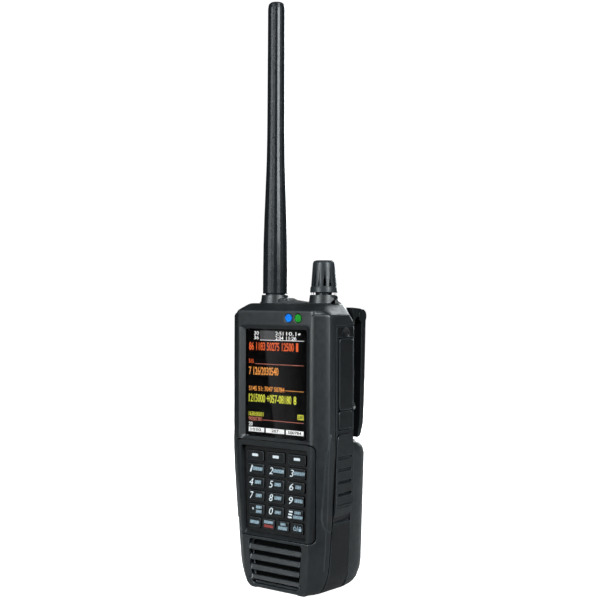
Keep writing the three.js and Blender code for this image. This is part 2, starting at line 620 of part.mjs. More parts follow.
// A torsion spring on the pin: two coils' outer form with a leg on the bracket and one on the arm.
function clipSpring() {
  const coil = cut(rodX(2.5, HINGE.y, HINGE.z, -3.6, 3.6, 18), rodX(1.5, HINGE.y, HINGE.z, -5, 5, 12));
  const legs = box(-3.4, -2.4, 36.7, 37.3, 128, HINGE.z);
  return coil.add(legs);
}

const panHead = (x, z, y, length) =>
  union(
    rodY(1.25, x, z, y - length, y + 0.2, 12),
    rodY(2.5, x, z, y, y + 1.3, 16),
    rodY(1.9, x, z, y + 1.2, y + 1.9, 16),
  ).subtract(box(x - 1.3, x + 1.3, y + 1.1, y + 3, z - 0.3, z + 0.3));

const memoryCard = () => box(-20, -9, 13, 13.9, 62, 77);

// ---------------------------------------------------------------- assembly
const MATERIALS = {
  shell: { color: 0x202325, roughness: 0.55, metalness: 0 },
  key: { color: 0x141516, roughness: 0.5, metalness: 0 },
  rubber: { color: 0x191b1d, roughness: 0.8, metalness: 0 },
  lens: { color: 0x050507, roughness: 0.08, metalness: 0 },
  board: { color: 0x1e4a2c, roughness: 0.6, metalness: 0 },
  steel: { color: 0xb4b6b8, roughness: 0.35, metalness: 1 },
  brass: { color: 0xc9a45a, roughness: 0.35, metalness: 1 },
  blue: { color: 0x1078d8, roughness: 0.2, metalness: 0 },
  green: { color: 0x1f9a3a, roughness: 0.2, metalness: 0 },
  pack: { color: 0x2c3036, roughness: 0.6, metalness: 0 },
};

const radio = new THREE.Group();
radio.position.y = -FRAME_Y;
function place(name, material, solid) {
  const mesh = new THREE.Mesh(toGeometry(solid), new THREE.MeshStandardMaterial(MATERIALS[material]));
  mesh.name = name;
  radio.add(mesh);
}

place("front_case", "shell", frontCase());
place("rear_case", "shell", rearCase());
place("battery_door", "shell", batteryDoor());
place("keypad_bezel", "shell", keypadBezel());
place("display_lens", "lens", displayLens());
place("display_module", "steel", displayModule());
place("speaker_mesh", "steel", speakerMesh());
place("speaker", "steel", speaker());
place("keypad_mat", "rubber", keypadMat());
for (const key of keys) place(key.name, "key", keyCap(key));
place("main_board", "board", mainBoard());
place("shield_can", "steel", shieldCan());
place("encoder_body", "steel", encoderBody());
place("encoder_plunger", "steel", encoderPlunger());
place("encoder_shaft", "steel", encoderShaft());
place("control_knob", "rubber", controlKnob());
place("antenna_socket", "brass", antennaSocket());
place("antenna_ferrule", "brass", antennaFerrule());
place("antenna_whip", "rubber", antennaWhip());
ledPlaces.forEach(([name, x], i) => place(name, i ? "green" : "blue", ledLens(x)));
place("port_cover", "rubber", portCover());
place("port_cover_anchor", "rubber", portCoverAnchor());
place("headphone_jack", "steel", headphoneJack());
place("usb_socket", "steel", usbSocket());
for (const key of sideKeys) place(key.name, "rubber", sideKeyCap(key));
place("grip_right", "rubber", grip(1));
place("grip_left", "rubber", grip(-1));
place("battery_pack", "pack", batteryPack());
place("battery_contacts", "brass", batteryContacts());
place("battery_latch", "shell", batteryLatch());
place("clip_bracket", "shell", clipBracket());
place("clip_arm", "shell", clipArm());
place("clip_pin", "steel", clipPin());
place("clip_spring", "steel", clipSpring());
place("clip_screw_left", "steel", panHead(-CLIP_SCREW.x, CLIP_SCREW.z, 31.7, 8));
place("clip_screw_right", "steel", panHead(CLIP_SCREW.x, CLIP_SCREW.z, 31.7, 8));
place("case_screw_left", "steel", panHead(-CASE_SCREW.x, CASE_SCREW.z, 19.2, 8));
place("case_screw_right", "steel", panHead(CASE_SCREW.x, CASE_SCREW.z, 19.2, 8));
place("memory_card", "lens", memoryCard());

export default radio;
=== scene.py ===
import json
import math

import bmesh
import bpy
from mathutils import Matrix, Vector


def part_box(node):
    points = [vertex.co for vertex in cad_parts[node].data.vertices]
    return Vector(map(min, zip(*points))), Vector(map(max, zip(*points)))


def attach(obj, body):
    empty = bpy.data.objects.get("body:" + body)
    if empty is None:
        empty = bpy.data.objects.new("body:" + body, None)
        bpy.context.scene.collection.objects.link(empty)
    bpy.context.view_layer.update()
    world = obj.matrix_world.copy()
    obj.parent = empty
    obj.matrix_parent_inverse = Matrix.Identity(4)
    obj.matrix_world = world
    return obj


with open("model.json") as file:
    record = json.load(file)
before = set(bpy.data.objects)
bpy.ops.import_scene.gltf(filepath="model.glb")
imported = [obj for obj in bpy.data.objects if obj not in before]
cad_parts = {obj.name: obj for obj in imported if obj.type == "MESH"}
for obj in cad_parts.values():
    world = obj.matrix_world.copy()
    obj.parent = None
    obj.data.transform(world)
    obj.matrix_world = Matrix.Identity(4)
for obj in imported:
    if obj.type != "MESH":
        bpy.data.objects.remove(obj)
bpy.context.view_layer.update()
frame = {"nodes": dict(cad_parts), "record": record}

nodes = frame["nodes"]
scene = bpy.context.scene
MM = 0.001
WHITE = (1, 1, 1, 1)

# ---------------------------------------------------------------- camera
FOCAL_LENGTH = 63.84
SENSOR_WIDTH = 36.0
CAMERA_PLACE = (0.33103, -0.44851, 0.14863)
CAMERA_TURN = tuple(math.radians(angle) for angle in (90, -0.24, 36.48))
camera_data = bpy.data.cameras.new("camera")
camera_data.lens = FOCAL_LENGTH
camera_data.sensor_width = SENSOR_WIDTH
camera = bpy.data.objects.new("camera", camera_data)
camera.location = CAMERA_PLACE
camera.rotation_euler = CAMERA_TURN
scene.collection.objects.link(camera)
scene.camera = camera


# ---------------------------------------------------------------- materials
class Graph:
    """A node tree with short calls for making and joining shader nodes."""

    def __init__(self, name):
        self.material = bpy.data.materials.new(name)
        self.material.use_nodes = True
        self.tree = self.material.node_tree
        self.tree.nodes.clear()
        output = self.tree.nodes.new("ShaderNodeOutputMaterial")
        self.shader = self.tree.nodes.new("ShaderNodeBsdfPrincipled")
        self.link(self.shader.outputs[0], output.inputs["Surface"])

    def add(self, kind, **settings):
        node = self.tree.nodes.new(kind)
        for key, value in settings.items():
            setattr(node, key, value)
        return node

    def link(self, a, b):
        self.tree.links.new(a, b)

    def place(self, stretch=None):
        """The piece's own coordinates, stretched if asked."""
        vector = self.add("ShaderNodeTexCoord").outputs["Object"]
        if stretch is None:
            return vector
        mapping = self.add("ShaderNodeMapping")
        mapping.inputs["Scale"].default_value = stretch
        self.link(vector, mapping.inputs["Vector"])
        return mapping.outputs["Vector"]

    def noise(self, scale, detail=3.0, rough=0.5, stretch=None):
        node = self.add("ShaderNodeTexNoise")
        node.inputs["Scale"].default_value = scale
        node.inputs["Detail"].default_value = detail
        node.inputs["Roughness"].default_value = rough
        self.link(self.place(stretch), node.inputs["Vector"])
        return node.outputs["Fac"]

    def cells(self, scale):
        node = self.add("ShaderNodeTexVoronoi")
        node.inputs["Scale"].default_value = scale
        self.link(self.place(), node.inputs["Vector"])
        return node.outputs["Distance"]

    def ramp(self, value, low, high, from_low=0.3, from_high=0.7):
        """value, from from_low..from_high to low..high."""
        node = self.add("ShaderNodeMapRange")
        limits = {"From Min": from_low, "From Max": from_high, "To Min": low, "To Max": high}
        for key, number in limits.items():
            node.inputs[key].default_value = number
        self.link(value, node.inputs["Value"])
        return node.outputs["Result"]

    def mix(self, factor, a, b):
        """From colour a to colour b by factor."""
        node = self.add("ShaderNodeMix", data_type="RGBA")
        self.link(factor, node.inputs["Factor"])
        node.inputs["A"].default_value = (*a, 1)
        node.inputs["B"].default_value = (*b, 1)
        return node.outputs["Result"]

    def bump(self, height, distance, strength):
        node = self.add("ShaderNodeBump")
        node.inputs["Distance"].default_value = distance
        node.inputs["Strength"].default_value = strength
        self.link(height, node.inputs["Height"])
        self.link(node.outputs["Normal"], self.shader.inputs["Normal"])

    def set(self, **values):
        for key, value in values.items():
            self.shader.inputs[key.replace("_", " ")].default_value = value


def moulded(
    name, dark, light, rough=(0.42, 0.56), grain=2600.0, depth=0.00003, specular=0.35, shade_behind_y=None,
):
    """Textured injection-moulded plastic or rubber: fine spark-eroded grain and faint colour drift.
    Surfaces behind the given y, if one is given, get a painted shade: a darker colour standing in for
    the shade deep in a key well."""
    g = Graph(name)
    colour = g.mix(g.ramp(g.noise(140.0), 0, 1), dark, light)
    # painted shade: a darker colour on surfaces deep in the key well
    if shade_behind_y is not None:
        split = g.add("ShaderNodeSeparateXYZ")
        g.link(g.place(), split.inputs[0])
        shade = g.add("ShaderNodeMix", data_type="RGBA")
        g.link(g.ramp(split.outputs["Y"], 0, 1, shade_behind_y, shade_behind_y + WELL_SHADE_BLEND), shade.inputs["Factor"])
        g.link(colour, shade.inputs["A"])
        shade.inputs["B"].default_value = (*WELL_SHADE_COLOUR, 1)
        colour = shade.outputs["Result"]
    g.link(colour, g.shader.inputs["Base Color"])
    g.link(g.ramp(g.noise(420.0, 4.0), *rough), g.shader.inputs["Roughness"])
    g.bump(g.noise(grain, 2.0, 0.6), depth, 0.5)
    g.set(Specular_IOR_Level=specular)
    return g.material


def metal(name, dark, light, rough=(0.22, 0.4)):
    """Drawn or plated metal, with its streaks across z."""
    g = Graph(name)
    g.set(Metallic=1.0)
    streaks = g.noise(600.0, 3.0, 0.5, (1, 1, 14))
    g.link(g.mix(g.ramp(streaks, 0, 1), dark, light), g.shader.inputs["Base Color"])
    g.link(g.ramp(g.noise(900.0), *rough), g.shader.inputs["Roughness"])
    g.bump(g.noise(4000.0, 2.0), 0.00001, 0.4)
    return g.material


def ink(name, dark, light):
    """Printed or moulded-in legend colour."""
    g = Graph(name)
    g.link(g.mix(g.ramp(g.noise(900.0), 0, 1), dark, light), g.shader.inputs["Base Color"])
    g.link(g.ramp(g.noise(1500.0), 0.4, 0.55), g.shader.inputs["Roughness"])
    return g.material


def glow(name, dark, light, strength):
    """Lit picture elements: a fine grid of brighter and dimmer points."""
    g = Graph(name)
    colour = g.mix(g.ramp(g.noise(2600.0, 1.0), 0, 1), dark, light)
    g.link(colour, g.shader.inputs["Emission Color"])
    g.link(colour, g.shader.inputs["Base Color"])
    g.link(g.ramp(g.noise(700.0), 0.3, 0.4), g.shader.inputs["Roughness"])
    g.set(Emission_Strength=strength, Specular_IOR_Level=0.1)
    return g.material


def window(name):
    """Clear window plastic."""
    g = Graph(name)
    g.set(Transmission_Weight=1.0, IOR=1.45)
    tint = g.mix(g.ramp(g.noise(60.0), 0, 1), (0.96, 0.96, 0.97), (0.99, 0.99, 1.0))
    g.link(tint, g.shader.inputs["Base Color"])
    g.link(g.ramp(g.noise(300.0), 0.0, 0.006), g.shader.inputs["Roughness"])
    return g.material


def dome(name, deep, bright, strength):
    """A coloured indicator lens with a light behind it."""
    g = Graph(name)
    colour = g.mix(g.ramp(g.noise(1100.0), 0, 1), deep, bright)
    g.link(colour, g.shader.inputs["Base Color"])
    g.link(colour, g.shader.inputs["Emission Color"])
    g.link(g.ramp(g.noise(500.0), 0.1, 0.2), g.shader.inputs["Roughness"])
    g.set(Coat_Weight=0.6, Coat_Roughness=0.05, Emission_Strength=strength)
    return g.material


def cloth(name, dark, light):
    """Woven dust cloth behind the speaker slots."""
    g = Graph(name)
    g.link(g.mix(g.ramp(g.cells(2400.0), 0, 1, 0.1, 0.6), dark, light), g.shader.inputs["Base Color"])
    g.link(g.ramp(g.noise(900.0), 0.7, 0.9), g.shader.inputs["Roughness"])
    g.bump(g.cells(2400.0), 0.0001, 0.8)
    g.set(Specular_IOR_Level=0.05)
    return g.material


# painted shade in the key well: its colour, its depth behind the bezel's front, and its blend
WELL_SHADE_COLOUR = (0.0012, 0.0014, 0.0016)
WELL_SHADE_DEPTH = 2.4 * MM
WELL_SHADE_BLEND = 0.2 * MM
CASE_DARK, CASE_LIGHT = (0.0055, 0.0068, 0.0076), (0.0075, 0.009, 0.01)

CASE = moulded("case_plastic", CASE_DARK, CASE_LIGHT, (0.38, 0.48), specular=0.5)
# A darker copy of the case plastic for the rear case: painted shade on its sides.
SIDE_PAINTED_SHADE = moulded(
    "side_plastic_painted_shade", (0.0024, 0.003, 0.0034), (0.0036, 0.0044, 0.005), (0.36, 0.46), specular=0.3)
# the bezel's recessed key well floor gets painted shade
BEZEL = moulded(
    "bezel_plastic", CASE_DARK, CASE_LIGHT, (0.4, 0.5), specular=0.32,
    shade_behind_y=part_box("keypad_bezel")[0].y + WELL_SHADE_DEPTH)
DOOR = moulded(
    "door_plastic", (0.0055, 0.0068, 0.0077), (0.0075, 0.0092, 0.0102), (0.38, 0.48), specular=0.4)
COVER = moulded(
    "cover_rubber", (0.003, 0.0037, 0.0042), (0.0045, 0.0055, 0.006), (0.42, 0.52), specular=0.3)
KEYS = moulded(
    "key_plastic", (0.0025, 0.0032, 0.0036), (0.004, 0.005, 0.0055), (0.38, 0.48),
    3200.0, 0.00002, 0.3)
MAT = moulded(
    "keypad_mat_rubber", (0.003, 0.0035, 0.004), (0.0045, 0.005, 0.0055), (0.55, 0.7), specular=0.2)
RUBBER = moulded(
    "rubber", (0.0055, 0.0068, 0.0077), (0.0078, 0.0095, 0.0105), (0.42, 0.54), specular=0.35)
WHIP = moulded(
    "antenna_rubber", (0.006, 0.0072, 0.0085), (0.0085, 0.01, 0.0115), (0.22, 0.28),
    2600.0, 0.000012, 0.3)
KNOB = moulded(
    "knob_rubber", (0.013, 0.016, 0.018), (0.018, 0.0215, 0.024), (0.34, 0.42), specular=0.34)
CLIP = moulded(
    "clip_plastic", (0.004, 0.005, 0.0056), (0.006, 0.0072, 0.008), (0.32, 0.42), specular=0.35)
# Rounded edges: their gloss is real, and their lighter colour is a painted highlight along every edge.
EDGE_HIGHLIGHT = moulded(
    "glossy_edge_painted_highlight", (0.014, 0.017, 0.019), (0.022, 0.026, 0.029), (0.3, 0.38), specular=0.6)
SLEEVE = moulded("battery_sleeve", (0.04, 0.05, 0.06), (0.055, 0.065, 0.08), (0.3, 0.45))
BOARD = moulded("circuit_board", (0.01, 0.06, 0.025), (0.02, 0.1, 0.04), (0.3, 0.5))
STEEL = metal("plated_steel", (0.45, 0.46, 0.47), (0.62, 0.63, 0.64))
DARK_STEEL = metal("black_steel", (0.03, 0.032, 0.035), (0.05, 0.053, 0.057), (0.4, 0.55))
BRASS = metal("gold_plate", (0.6, 0.42, 0.18), (0.8, 0.6, 0.3))
CLOTH = cloth("speaker_cloth", (0.0004, 0.0004, 0.0005), (0.0016, 0.0017, 0.0018))
PANEL = moulded(
    "display_glass", (0.0015, 0.0015, 0.002), (0.003, 0.003, 0.0035), (0.18, 0.26),
    900.0, 0.000002, 0.2)
LENS = window("screen_window")
BLUE = dome("led_blue", (0.0, 0.07, 0.4), (0.008, 0.2, 0.72), 0.16)
GREEN = dome("led_green", (0.006, 0.13, 0.01), (0.02, 0.27, 0.03), 0.12)
WHITE_INK = ink("legend_white", (0.48, 0.53, 0.55), (0.6, 0.65, 0.68))
PALE_INK = ink("legend_pale_blue", (0.2, 0.29, 0.35), (0.3, 0.4, 0.46))
RED_INK = ink("legend_red", (0.15, 0.016, 0.015), (0.24, 0.03, 0.026))

SLOT_MATERIALS = {
    "case": CASE, "clip": CLIP, "keys": KEYS, "knob": KNOB, "rubber": RUBBER, "grip": RUBBER,
    "lens": LENS, "led_blue": BLUE, "led_green": GREEN, "board": BOARD, "battery": SLEEVE,
    "card": KEYS, "steel": STEEL, "brass": BRASS,
}
NODE_MATERIALS = {
    "rear_case": SIDE_PAINTED_SHADE, "battery_door": DOOR, "battery_latch": DOOR, "antenna_whip": WHIP,
    "keypad_mat": MAT, "keypad_bezel": BEZEL, "port_cover": COVER, "port_cover_anchor": COVER,
    "speaker_mesh": CLOTH, "display_module": PANEL, "antenna_ferrule": DARK_STEEL,
    "encoder_body": DARK_STEEL, "encoder_shaft": DARK_STEEL, "encoder_plunger": DARK_STEEL,
    "clip_pin": DARK_STEEL, "clip_spring": DARK_STEEL,
}
for entry in frame["record"]["subparts"]:
    node = nodes[entry["node"]]
    usual = SLOT_MATERIALS[entry["material_slot"]]
    node.material_slots[0].material = NODE_MATERIALS.get(entry["node"], usual)


# ---------------------------------------------------------------- soft edges on the solids
BEVEL_ANGLE = math.radians(24)
BEVEL_SEGMENTS = 3
FLAT_ANGLE = math.radians(1.0)
FINE_WELD, COARSE_WELD = 0.002 * MM, 0.02 * MM


def soften(name, width, edge=None, clamp=False):
    """Joins each flat face's triangles and rounds the edges between faces, which get the edge material,
    a glossier plastic whose lighter colour is a painted highlight. An unclamped bevel keeps its width,
    but overruns where edges are shorter than it."""
    node = nodes[name]
    weld = node.modifiers.new("weld", "WELD")
    weld.merge_threshold = FINE_WELD if clamp else COARSE_WELD
    flat = node.modifiers.new("flat", "DECIMATE")
    flat.decimate_type = "DISSOLVE"
    flat.angle_limit = FLAT_ANGLE
    bevel = node.modifiers.new("round", "BEVEL")
    bevel.width = width * MM
    bevel.segments = BEVEL_SEGMENTS
    bevel.limit_method = "ANGLE"
    bevel.angle_limit = BEVEL_ANGLE
    bevel.use_clamp_overlap = clamp
    # the rounding gets the edge material, whose lighter colour is a painted highlight
    if edge:
        node.data.materials.append(edge)
        bevel.material = 1
    shade = node.modifiers.new("shade", "WEIGHTED_NORMAL")
    shade.weight = 100
    for polygon in node.data.polygons:
        polygon.use_smooth = True


# pieces, width of the rounding in millimetres, material of the rounding, clamp
ROUNDINGS = (
    (sorted(name for name in nodes if name.startswith("key_")), 0.3, EDGE_HIGHLIGHT, True),
    (("keypad_bezel",), 0.35, EDGE_HIGHLIGHT, True),
    (("front_case", "rear_case", "battery_door", "antenna_socket", "battery_latch"), 0.35, EDGE_HIGHLIGHT, False),
    (("port_cover", "port_cover_anchor"), 0.4, EDGE_HIGHLIGHT, False),
    (("clip_arm", "clip_bracket"), 0.12, None, False),
    (("control_knob", "side_key_upper", "side_key_lower"), 0.3, None, False),
    (("grip_right", "grip_left"), 0.25, EDGE_HIGHLIGHT, False),
)
for names, width, edge, clamp in ROUNDINGS:
    for name in names:
        soften(name, width, edge, clamp)


# ---------------------------------------------------------------- legends
SINK = 0.02 * MM
MARK_LEAN = 0.15
RING_STEPS = 20


class Sheet:
    """Thin raised shapes on a face that looks forward, made in one mesh. Sizes in millimetres."""

    def __init__(self, name, face, thick, *materials):
        self.name = name
        self.face = face
        self.thick = thick
        self.materials = materials
        self.mesh = bmesh.new()

    def plate(self, x0, x1, z0, z1, index, corner=0.0, lean=0.0):
        """An upright rectangle, with cut corners and a lean to the right."""
        c = min(corner, (x1 - x0) / 2.01, (z1 - z0) / 2.01)
        outline = [(x0, z0), (x1, z0), (x1, z1), (x0, z1)]
        if c > 0:
            outline = [
                (x0 + c, z0), (x1 - c, z0), (x1, z0 + c), (x1, z1 - c),
                (x1 - c, z1), (x0 + c, z1), (x0, z1 - c), (x0, z0 + c),
            ]
        middle = (z0 + z1) / 2
        rows = []
        for y in (self.face - self.thick * MM, self.face + SINK):
            rows.append([
                self.mesh.verts.new(((x + lean * (z - middle)) * MM, y, z * MM))
                for x, z in outline
            ])
        front, back = rows
        faces = [self.mesh.faces.new(front), self.mesh.faces.new(back[::-1])]
        count = len(outline)
        for i in range(count):
            j = (i + 1) % count
            faces.append(self.mesh.faces.new((front[j], front[i], back[i], back[j])))
        for face in faces:
            face.material_index = index

    def text(self, words, x0, x1, z0, z1, index, shear=0.0, bold=0.0):
        """Figures stretched to fill the box."""
        curve = bpy.data.curves.new("figures", "FONT")
        curve.body = words
        curve.size = 1.0
        curve.shear = shear
        curve.offset = bold
        curve.extrude = 0.5
        curve.resolution_u = 3
        letters = bpy.data.objects.new("figures", curve)
        flat = bpy.data.meshes.new_from_object(letters)
        low = [min(v.co[k] for v in flat.vertices) for k in (0, 1)]
        high = [max(v.co[k] for v in flat.vertices) for k in (0, 1)]
        across = (x1 - x0) / (high[0] - low[0])
        up = (z1 - z0) / (high[1] - low[1])
        start = len(self.mesh.verts)
        start_face = len(self.mesh.faces)
        for vertex in flat.vertices:
            x, y, z = vertex.co
            depth = self.face - self.thick * MM if z > 0 else self.face + SINK
            vertex.co = (
                (x0 + (x - low[0]) * across) * MM, depth, (z0 + (y - low[1]) * up) * MM)
        self.mesh.from_mesh(flat)
        self.mesh.verts.ensure_lookup_table()
        self.mesh.faces.ensure_lookup_table()
        bmesh.ops.remove_doubles(self.mesh, verts=self.mesh.verts[start:], dist=0.0005 * MM)
        self.mesh.faces.ensure_lookup_table()
        for face in self.mesh.faces[start_face:]:
            face.material_index = index
        bpy.data.objects.remove(letters)
        bpy.data.curves.remove(curve)
        bpy.data.meshes.remove(flat)

    def marks(self, x0, x1, z0, z1, count, index):
        """A row of small two-stroke marks, where words are left out."""
        pitch = (x1 - x0) / count
        stroke = 0.3 * pitch
        for i in range(count):
            left = x0 + i * pitch
            right = left + 0.86 * pitch
            self.plate(left, left + stroke, z0, z1, index, 0, MARK_LEAN)
            self.plate(right - stroke, right, z0, z1, index, 0, MARK_LEAN)
            foot = z0 + (z1 - z0) * (0.08, 0.42, 0.7)[i % 3]
            head = foot + 0.22 * (z1 - z0)
            self.plate(left + stroke, right - stroke, foot, head, index, 0, MARK_LEAN)

    def finish(self, body, slot):
        """Makes the piece, which moves with the body."""
        bmesh.ops.recalc_face_normals(self.mesh, faces=self.mesh.faces)
        mesh = bpy.data.meshes.new(self.name)
        self.mesh.to_mesh(mesh)
        self.mesh.free()
        for material in self.materials:
            mesh.materials.append(material)
        piece = bpy.data.objects.new(self.name, mesh)
        scene.collection.objects.link(piece)
        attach(piece, body)


def centre(name):
    """The middle of a node's front, in millimetres."""
    low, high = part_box(name)
    return (low.x + high.x) / 2 / MM, (low.z + high.z) / 2 / MM


IN_WHITE, IN_PALE, IN_RED = range(3)
LEGEND_THICK = 0.06


def legend(name):
    """A sheet on a key's face, and the key's middle."""
    low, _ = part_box(name)
    sheet = Sheet(name + "_legend", low.y, LEGEND_THICK, WHITE_INK, PALE_INK, RED_INK)
    return sheet, *centre(name)


for name in ("key_soft_left", "key_soft_middle", "key_soft_right"):
    sheet, x, z = legend(name)
    sheet.plate(x - 1.95, x + 1.95, z - 0.3, z + 1.1, IN_WHITE, 0.25)
    sheet.finish(name + "_body", "keys")

# figure, then its row of small marks as left, right, foot, head, count
KEY_LEGENDS = {
    "1": (-1.7, 4.6, -0.7, 1.1, 5), "2": (-1.5, 5.2, -0.7, 1.1, 5), "3": (-1.5, 5.3, -0.7, 1.1, 5),
    "4": (-0.5, 3.4, -0.7, 1.1, 3), "5": (-0.6, 3.4, -0.7, 1.1, 3), "6": (-0.2, 3.2, -0.7, 1.1, 2),
    "7": (-0.1, 3.7, -0.7, 1.1, 3), "8": (-0.6, 3.7, -0.7, 1.1, 3), "9": (-0.5, 4.5, -0.7, 1.1, 4),
    "0": (-0.3, 3.4, -0.95, 0.65, 3),
}
FIGURE_LEAN = 0.22
for figure, (x0, x1, z0, z1, count) in KEY_LEGENDS.items():
    sheet, x, z = legend("key_" + figure)
    left = x - (3.7 if figure == "1" else 4.15)
    sheet.text(figure, left, x - 1.65, z - 1.75, z + 1.85, IN_WHITE, FIGURE_LEAN)
    sheet.marks(x + x0, x + x1, z + z0, z + z1, count, IN_PALE)
    sheet.finish("key_" + figure + "_body", "keys")

sheet, x, z = legend("key_point")
sheet.plate(x - 2.75, x - 1.75, z - 0.45, z + 0.6, IN_WHITE, 0.3)
sheet.marks(x - 0.2, x + 3.5, z + 0.35, z + 1.85, 3, IN_PALE)
sheet.marks(x - 0.2, x + 3.5, z - 1.95, z - 0.45, 3, IN_PALE)
sheet.finish("key_point_body", "keys")

sheet, x, z = legend("key_enter")
for level in (-2.0, -0.55, 0.9):
    lean = 0.22 * (level + 0.25)
    sheet.plate(x - 4.1 + lean, x - 1.75 + lean, z + level, z + level + 0.75, IN_WHITE, 0.1)
sheet.marks(x - 0.3, x + 3.6, z + 0.3, z + 1.8, 3, IN_PALE)
sheet.marks(x - 1.2, x + 4.7, z - 1.95, z - 0.35, 5, IN_PALE)
sheet.finish("key_enter_body", "keys")

sheet, x, z = legend("key_skip")
sheet.marks(x - 2.8, x + 3.0, z - 0.75, z + 0.9, 5, IN_PALE)
sheet.finish("key_skip_body", "keys")

sheet, x, z = legend("key_replay")
sheet.marks(x - 2.8, x + 3.0, z + 0.25, z + 1.75, 6, IN_PALE)
sheet.plate(x - 2.8, x + 3.0, z - 1.75, z - 0.35, IN_RED, 0.1)
sheet.finish("key_replay_body", "keys")

sheet, x, z = legend("key_range")
sheet.marks(x - 1.2, x + 1.9, z + 0.45, z + 1.75, 3, IN_PALE)
sheet.marks(x - 2.8, x + 3.0, z - 1.75, z - 0.1, 6, IN_PALE)
sheet.finish("key_range_body", "keys")


def ring(sheet, x, z, radius, stroke, start, stop, index):
    """Part of a ring, as one closed band; angles in degrees from the top."""
    rows = []
    for k in range(RING_STEPS + 1):
        angle = math.radians(start + (stop - start) * k / RING_STEPS)
        for reach in (radius - stroke / 2, radius + stroke / 2):
            for y in (sheet.face - sheet.thick * MM, sheet.face + SINK):
                at = ((x + reach * math.sin(angle)) * MM, y, (z + reach * math.cos(angle)) * MM)
                rows.append(sheet.mesh.verts.new(at))
    order = (0, 1, 3, 2)
    for k in range(RING_STEPS):
        for a in range(4):
            b = (a + 1) % 4
            here, there = 4 * k, 4 * k + 4
            corners = here + order[a], here + order[b], there + order[b], there + order[a]
            sheet.mesh.faces.new([rows[i] for i in corners]).material_index = index
    for first in (0, 4 * RING_STEPS):
        sheet.mesh.faces.new([rows[first + i] for i in order]).material_index = index


sheet, x, z = legend("key_power")
ring(sheet, x - 1.35, z - 0.15, 0.85, 0.36, 35, 325, IN_PALE)
sheet.plate(x - 1.52, x - 1.18, z + 0.1, z + 1.45, IN_PALE)
sheet.plate(x + 0.1, x + 0.4, z - 1.3, z + 1.4, IN_PALE, 0, 0.2)
sheet.plate(x + 1.0, x + 2.7, z - 1.2, z + 0.2, IN_PALE, 0.15)
ring(sheet, x + 1.85, z + 0.3, 0.6, 0.3, -90, 90, IN_PALE)
sheet.finish("key_power_body", "keys")

# ---------------------------------------------------------------- what the screen shows
RED = glow("screen_red", (0.4, 0.05, 0.01), (0.62, 0.1, 0.025), 0.8)
ORANGE = glow("screen_orange", (0.45, 0.16, 0.03), (0.62, 0.25, 0.05), 0.8)
YELLOW = glow("screen_yellow", (0.34, 0.34, 0.02), (0.5, 0.5, 0.05), 0.8)
PINK = glow("screen_pink", (0.26, 0.08, 0.05), (0.36, 0.12, 0.09), 0.8)
PAPER = glow("screen_white", (0.5, 0.5, 0.48), (0.72, 0.72, 0.7), 0.8)
DIM = glow("screen_grey", (0.035, 0.035, 0.036), (0.045, 0.045, 0.046), 1.0)
INKED = glow("screen_black", (0.01, 0.01, 0.01), (0.02, 0.02, 0.02), 0.3)
AS_RED, AS_ORANGE, AS_YELLOW, AS_PINK, AS_PAPER, AS_DIM = range(6)
AS_INKED = 0
PICTURE_THICK = 0.05
OVERPRINT_LIFT = 0.06
screen_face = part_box("display_module")[0].y
screen = Sheet(
    "screen_picture", screen_face, PICTURE_THICK, RED, ORANGE, YELLOW, PINK, PAPER, DIM)
LEFT, RIGHT = -17.9, 17.3
screen.plate(-10.7, -1.0, 128.3, 132.8, AS_DIM)
for words, x0, x1, z0, z1 in (
    ("30", -14.6, -11.5, 130.6, 132.5), ("36", -14.6, -11.5, 128.3, 130.2),
    ("2:51", -0.7, 4.4, 130.6, 132.5), ("2:04", -0.7, 4.4, 128.3, 130.2),
    ("10.1", 6.2, 12.6, 130.6, 132.5), ("11:26", 6.2, 12.6, 128.3, 130.2),
):
    screen.text(words, x0, x1, z0, z1, AS_PAPER, 0, 0.01)
screen.plate(13.6, 15.2, 130.9, 132.0, AS_PAPER, 0.5, 0.3)
screen.text("86 1183 50275 12500", LEFT, 11.0, 122.6, 126.9, AS_RED, 0, 0.015)
screen.text("1", 12.4, 13.8, 122.6, 126.9, AS_RED, 0, 0.01)
screen.text("515", LEFT, -14.8, 116.0, 118.1, AS_RED, 0, 0.01)
screen.text("7 126/2030540", LEFT, 1.3, 110.0, 114.2, AS_ORANGE, 0, 0.015)
screen.text("5145 51: 7047 50784", LEFT, 5.2, 101.8, 104.2, AS_ORANGE, 0, 0.012)
screen.text("1215000 +057-08180", LEFT, 9.6, 96.0, 100.2, AS_YELLOW, 0, 0.015)
screen.text("8", 11.0, 12.7, 96.0, 100.2, AS_YELLOW, 0, 0.015)
screen.text("1630:00001", LEFT, -8.2, 88.8, 91.0, AS_YELLOW, 0, 0.012)
screen.text("90207381", LEFT, -9.2, 86.4, 88.3, AS_PINK, 0, 0.012)
screen.plate(13.5, RIGHT, 88.6, 91.2, AS_YELLOW)
screen.text("20", LEFT, -15.4, 83.6, 85.6, AS_PAPER, 0, 0.01)
for level, x0, index in (
    (127.9, -10.7, AS_PAPER), (115.6, -14.0, AS_PINK), (102.6, 5.8, AS_ORANGE), (86.9, -8.6, AS_PINK),
):
    screen.plate(x0, RIGHT, level, level + 0.28, index)
for x0, x1 in ((LEFT, -7.7), (-6.6, 5.2), (6.3, RIGHT)):
    screen.plate(x0, x1, 80.7, 83.0, AS_PAPER)
screen.finish("case", "lens")

overprint = Sheet("screen_overprint", screen_face - OVERPRINT_LIFT * MM, PICTURE_THICK, INKED)
overprint.text("0385", 13.8, 17.0, 89.0, 90.8, AS_INKED, 0, 0.012)
for words, x0, x1 in (("1030", -16.6, -9.8), ("207", -2.9, 1.7), ("500784", 7.6, 15.9)):
    overprint.text(words, x0, x1, 81.1, 82.6, AS_INKED, 0, 0.015)
overprint.finish("case", "lens")


